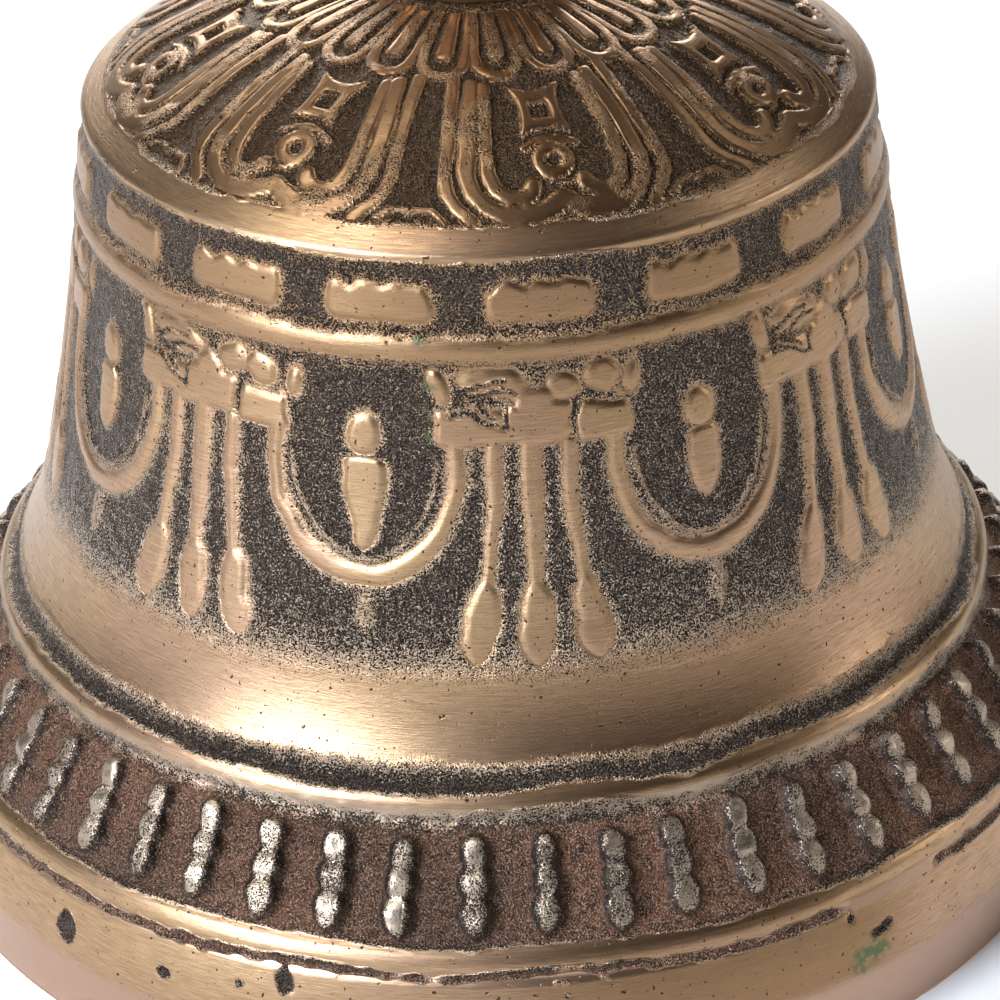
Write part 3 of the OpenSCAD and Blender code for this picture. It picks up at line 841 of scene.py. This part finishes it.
class Nodes:
    """A material's node tree, with a short call for each kind of node it needs."""

    def __init__(self, name):
        self.material = bpy.data.materials.new(name)
        self.material.use_nodes = True
        self.tree = self.material.node_tree
        self.tree.nodes.clear()
        out = self.add("OutputMaterial")
        self.bsdf = self.add("BsdfPrincipled")
        self.link(self.bsdf.outputs[0], out.inputs[0])
        self.place = self.add("TexCoord").outputs["Object"]

    def add(self, kind, **settings):
        node = self.tree.nodes.new("ShaderNode" + kind)
        for key, value in settings.items():
            setattr(node, key, value)
        return node

    def link(self, a, b):
        self.tree.links.new(a, b)

    def feed(self, socket, value):
        if isinstance(value, bpy.types.NodeSocket):
            self.link(value, socket)
        else:
            socket.default_value = value

    def noise(self, per_mm, detail=2.0, rough=0.5, stretch=None, distort=0.0):
        """Noise with that many features to the millimetre; stretch scales each axis."""
        node = self.add("TexNoise")
        node.inputs["Scale"].default_value = per_mm / MM
        node.inputs["Detail"].default_value = detail
        node.inputs["Roughness"].default_value = rough
        node.inputs["Distortion"].default_value = distort
        place = self.place
        if stretch:
            mapping = self.add("Mapping")
            mapping.inputs["Scale"].default_value = stretch
            self.link(place, mapping.inputs["Vector"])
            place = mapping.outputs[0]
        self.link(place, node.inputs["Vector"])
        return node.outputs[0]

    def math(self, operation, a, b=0.0, c=0.0):
        node = self.add("Math", operation=operation)
        for socket, value in zip(node.inputs, (a, b, c)):
            self.feed(socket, value)
        return node.outputs[0]

    def step(self, value, low, high, to_low=0.0, to_high=1.0):
        node = self.add("MapRange", interpolation_type="SMOOTHSTEP")
        for socket, v in zip(node.inputs, (value, low, high, to_low, to_high)):
            self.feed(socket, v)
        return node.outputs[0]

    def mix(self, factor, a, b):
        node = self.add("Mix", data_type="RGBA")
        self.feed(node.inputs[0], factor)
        for socket, value in zip(node.inputs[6:8], (a, b)):
            self.feed(socket, value)
        return node.outputs[2]

    def attribute(self, name):
        return self.add("Attribute", attribute_name=name)

    def bump(self, height, distance, normal=None):
        """Bump of that height in mm, over an earlier one if it is given."""
        node = self.add("Bump")
        node.inputs["Distance"].default_value = distance * MM
        self.link(height, node.inputs["Height"])
        if normal is not None:
            self.link(normal, node.inputs["Normal"])
        return node.outputs[0]

    def finish(self, colour, roughness, metallic, normal=None):
        self.feed(self.bsdf.inputs["Base Color"], colour)
        self.feed(self.bsdf.inputs["Roughness"], roughness)
        self.feed(self.bsdf.inputs["Metallic"], metallic)
        if normal is not None:
            self.link(normal, self.bsdf.inputs["Normal"])
        return self.material


def rgb(r, g, b):
    """Linear colour of an sRGB value in 0 to 255."""
    return tuple(((c / 255 + 0.055) / 1.055) ** 2.4 if c > 10 else c / 3295 for c in (r, g, b)) + (1.0,)


BRASS = rgb(186, 154, 116)
BRASS_PINK = rgb(184, 150, 120)
BRASS_BROWN = rgb(150, 118, 84)


def worn_brass(name):
    """Brass with a dark patina that is polished off where the wear attribute is high."""
    t = Nodes(name)
    stain_and_shade = t.attribute("stain_and_shade")
    kinds = t.add("SeparateColor")
    t.link(stain_and_shade.outputs["Color"], kinds.inputs[0])
    red, green, grey = kinds.outputs
    # brown: real browning on the crown and rim, and painted shade on the bell's front-right side
    brown = stain_and_shade.outputs["Alpha"]
    worn = t.attribute("wear").outputs["Fac"]
    fine = t.noise(8.0, 1.5, 0.6)
    blotch = t.noise(1.6, 2.0, 0.5)
    slow = t.noise(0.07, 2.0, 0.5)
    grains = t.math("MULTIPLY_ADD", fine, 3.0, -1.5)
    blotches = t.math("MULTIPLY_ADD", blotch, 0.7, -0.35)
    value = t.math("ADD", t.math("ADD", worn, grains), blotches)
    polished = t.step(value, 0.4, 0.6)
    brush = t.noise(1.0, 2.0, 0.7, (0.6, 0.6, 16.0), 0.1)
    bright = t.mix(t.step(slow, 0.35, 0.65), BRASS, BRASS_PINK)
    # these mixes by brown paint real patina, and on the bell's front-right side painted shade
    bright = t.mix(brown, bright, BRASS_BROWN)
    rubbed = t.mix(brown, rgb(190, 172, 150), rgb(164, 133, 98))
    bright = t.mix(t.step(worn, 0.45, 0.95), rubbed, bright)
    bright = t.mix(t.step(brush, 0.35, 0.65, 0.0, 0.6), bright, rgb(136, 106, 80))
    pits = t.step(t.noise(2.6, 1.0, 0.5), 0.30, 0.245)
    bright = t.mix(pits, bright, rgb(70, 52, 40))
    dull = t.mix(t.step(fine, 0.4, 0.65), rgb(37, 31, 27), rgb(102, 88, 76))
    rusty = t.mix(t.step(blotch, 0.35, 0.65), rgb(56, 45, 38), rgb(106, 75, 57))
    rusty = t.mix(t.step(fine, 0.45, 0.72), rusty, rgb(200, 158, 130))
    # umber where brown is near full: the crown's edge, and the painted shade on the lip's front-right
    umber = t.mix(t.step(fine, 0.4, 0.65), rgb(42, 33, 25), rgb(108, 84, 60))
    dull = t.mix(t.step(brown, 0.88, 1.0), dull, umber)
    dull = t.mix(red, dull, rusty)
    dull = t.mix(grey, dull, rgb(58, 49, 43))
    bright = t.mix(red, bright, rgb(178, 146, 124))
    bright = t.mix(grey, bright, rgb(172, 154, 134))
    colour = t.mix(polished, dull, bright)
    colour = t.mix(t.math("MULTIPLY", green, t.step(blotch, 0.35, 0.6)), colour, rgb(96, 104, 74))
    rough = t.math("ADD", t.step(polished, 0, 1, 0.36, 0.3), t.math("MULTIPLY", brush, 0.1))
    metallic = t.step(polished, 0, 1, 0.9, 1.0)
    height = t.math("ADD", t.math("MULTIPLY", polished, 0.5), t.math("MULTIPLY", fine, 2.4))
    cast = t.math("MULTIPLY", t.step(worn, 0.5, 1.05, 1.0, 0.05), t.step(grey, 0, 1, 1.0, 0.35))
    normal = t.bump(t.math("MULTIPLY", height, cast), 0.09)
    normal = t.bump(t.math("SUBTRACT", brush, pits), 0.018, normal)
    return t.finish(colour, rough, metallic, normal)


def forged_iron():
    """Hammered wrought iron gone brown, with patches of rust."""
    t = Nodes("forged_iron")
    dents = t.noise(0.55, 2.0, 0.45)
    grain = t.noise(5.0, 3.0, 0.6)
    skin = t.mix(t.step(grain, 0.35, 0.7), rgb(58, 54, 52), rgb(104, 98, 92))
    rust = t.math("MULTIPLY", t.step(t.noise(0.9, 3.0, 0.6), 0.5, 0.68), t.step(grain, 0.35, 0.55))
    colour = t.mix(rust, skin, rgb(112, 62, 36))
    rough = t.step(rust, 0, 1, 0.46, 0.85)
    metallic = t.step(rust, 0, 1, 0.95, 0.1)
    normal = t.bump(dents, 0.35)
    return t.finish(colour, rough, metallic, t.bump(grain, 0.05, normal))


def pin_steel():
    """Drawn steel rod, its heads spread by a hammer."""
    t = Nodes("pin_steel")
    streak = t.noise(1.5, 2.0, 0.5, (1, 1, 6))
    spots = t.step(t.noise(1.4, 3.0, 0.6), 0.58, 0.7)
    colour = t.mix(spots, t.mix(streak, rgb(136, 134, 130), rgb(176, 172, 166)), rgb(96, 66, 46))
    rough = t.math("ADD", t.step(spots, 0, 1, 0.3, 0.7), t.math("MULTIPLY", streak, 0.1))
    return t.finish(colour, rough, t.step(spots, 0, 1, 1.0, 0.3), t.bump(t.noise(0.9, 1.0), 0.15))


def leather():
    """Vegetable-tanned leather, its grain pressed and darkened by oil."""
    t = Nodes("leather")
    cells = t.add("TexVoronoi", feature="DISTANCE_TO_EDGE")
    cells.inputs["Scale"].default_value = 1.9 / MM
    t.link(t.place, cells.inputs["Vector"])
    crease = t.step(cells.outputs["Distance"], 0.0, 0.12)
    oil = t.noise(0.3, 3.0, 0.55)
    colour = t.mix(t.step(oil, 0.35, 0.65), rgb(92, 56, 32), rgb(138, 90, 54))
    colour = t.mix(crease, rgb(54, 32, 20), colour)
    height = t.math("ADD", crease, t.math("MULTIPLY", t.noise(8.0, 2.0), 0.4))
    return t.finish(colour, t.step(oil, 0.3, 0.7, 0.5, 0.72), 0.0, t.bump(height, 0.08))


def pitch():
    """Black-brown resin pitch with dust and small bubbles."""
    t = Nodes("pitch")
    dust = t.step(t.noise(2.2, 4.0, 0.6), 0.5, 0.75)
    colour = t.mix(dust, rgb(34, 24, 18), rgb(74, 54, 38))
    return t.finish(colour, t.step(dust, 0, 1, 0.25, 0.6), 0.0, t.bump(t.noise(0.8, 3.0), 0.2))


# ---- the scene, in metres ----

FLOOR_HALF = 12.0
LIT_FROM, FAR_GLOW = (0.45, 1.3), 0.72      # the floor past the softboxes' reach glows, so that it stays pale
DARK_SIDE = (75, 58)    # azimuth and elevation of the unlit side of the room
ROOM = [(0.0, (0.6, 0.6, 0.6, 1)), (0.42, (0.26, 0.22, 0.18, 1)), (0.85, (0.06, 0.045, 0.035, 1))]
ROOM_LIGHT = 0.32


def direction(azimuth, elevation):
    """Unit vector. Azimuth 0 is the camera's side, and 90 the +X side."""
    a, e = math.radians(azimuth), math.radians(elevation)
    return Vector((math.sin(a) * math.cos(e), -math.cos(a) * math.cos(e), math.sin(e)))


def studio():
    floor = bpy.data.meshes.new("floor")
    corners = [(x * FLOOR_HALF, y * FLOOR_HALF, 0) for x, y in ((-1, -1), (1, -1), (1, 1), (-1, 1))]
    floor.from_pydata(corners, [], [(0, 1, 2, 3)])
    obj = bpy.data.objects.new("floor", floor)
    bpy.context.scene.collection.objects.link(obj)
    t = Nodes("floor_paper")
    shade = t.mix(t.noise(0.004, 3), (0.88, 0.87, 0.85, 1), (0.91, 0.9, 0.88, 1))
    away = t.add("VectorMath", operation="LENGTH")
    t.link(t.place, away.inputs[0])
    t.bsdf.inputs["Emission Color"].default_value = (1, 1, 1, 1)
    t.feed(t.bsdf.inputs["Emission Strength"], t.step(away.outputs["Value"], *LIT_FROM, 0.0, FAR_GLOW))
    floor.materials.append(t.finish(shade, 0.8, 0.0))

    world = bpy.data.worlds.new("studio")
    bpy.context.scene.world = world
    world.use_nodes = True
    tree = world.node_tree
    tree.nodes.clear()
    out = tree.nodes.new("ShaderNodeOutputWorld")
    back = tree.nodes.new("ShaderNodeBackground")
    place = tree.nodes.new("ShaderNodeTexCoord")
    dot = tree.nodes.new("ShaderNodeVectorMath")
    dot.operation = "DOT_PRODUCT"
    dot.inputs[1].default_value = direction(*DARK_SIDE)
    ramp = tree.nodes.new("ShaderNodeValToRGB")
    tree.links.new(place.outputs["Generated"], dot.inputs[0])
    tree.links.new(dot.outputs["Value"], ramp.inputs[0])
    ramp.color_ramp.elements.new(0.5)
    for element, (at, colour) in zip(ramp.color_ramp.elements, ROOM):
        element.position, element.color = at, colour
    tree.links.new(ramp.outputs[0], back.inputs["Color"])
    back.inputs["Strength"].default_value = ROOM_LIGHT
    tree.links.new(back.outputs[0], out.inputs[0])


def softbox(name, azimuth, elevation, distance, width, height, power, colour=(1, 1, 1)):
    """Area light that faces the bell."""
    aim = Vector((0, 0, 0.04))
    light = bpy.data.lights.new(name, "AREA")
    light.shape = "RECTANGLE"
    light.size, light.size_y = width, height
    light.energy = power
    light.color = colour
    obj = bpy.data.objects.new(name, light)
    obj.location = aim + distance * direction(azimuth, elevation)
    obj.rotation_mode = "QUATERNION"
    obj.rotation_quaternion = (aim - obj.location).to_track_quat("-Z", "Y")
    bpy.context.scene.collection.objects.link(obj)


VIEW_TARGET = (0.00064, 0, 0.0239)
VIEW_ELEVATION, VIEW_DISTANCE, VIEW_ROLL = 29.79, 0.33596, -1.82
LENS = 157.6


def camera():
    target = Vector(VIEW_TARGET)
    data = bpy.data.cameras.new("camera")
    data.sensor_width = 36
    data.lens = LENS
    data.clip_start, data.clip_end = 0.01, 20
    obj = bpy.data.objects.new("camera", data)
    obj.location = target + VIEW_DISTANCE * direction(0, VIEW_ELEVATION)
    obj.rotation_mode = "QUATERNION"
    level = (target - obj.location).to_track_quat("-Z", "Y")
    obj.rotation_quaternion = level @ Quaternion((0, 0, 1), math.radians(VIEW_ROLL))
    bpy.context.scene.collection.objects.link(obj)
    bpy.context.scene.camera = obj


camera()
studio()
softbox("key_left", -46, 30, 0.8, 0.36, 0.5, 10.6, (0.9, 1.0, 1.18))
softbox("top_left", -88, 70, 0.8, 0.26, 0.26, 1.8)
softbox("top_right", 116, 50, 0.8, 0.2, 0.2, 0.35)
softbox("backdrop", -176, 22, 0.9, 0.7, 0.3, 7.5)
softbox("fill_right", 89, 18, 0.9, 0.16, 0.4, 1.3)
bpy.context.scene.view_settings.view_transform = "Standard"

bell_body(worn_brass("bell_brass_worn"))
handle = worn_brass("handle_brass_worn")
handle_foot(handle)
pearl_ring("lower_pearl_ring", LOWER_RING_Z, VASE_Z - LOWER_RING_Z, handle)
handle_vase(handle)
pearl_ring("upper_pearl_ring", UPPER_RING_Z, LOTUS_Z - UPPER_RING_Z, handle)
lotus_cup(handle)
vajra_hub(handle)
vajra_prongs(handle)
centre_prong(handle)
prong_cap(handle)
clapper_ball(worn_brass("ball_brass_worn"))

for material, names, width in (
        (forged_iron(), ("eye_rod", "iron_washer", "square_nut", "hanger_link", "clapper_shank"), 0.25),
        (pin_steel(), ("link_pin", "clapper_pin"), 0.15),
        (leather(), ("seat_washer", "damper_washer"), 0.15),
        (pitch(), ("handle_fill",), 0.1)):
    for name in names:
        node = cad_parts[name]
        node.data.materials.clear()
        node.data.materials.append(material)
        soften(name, width)
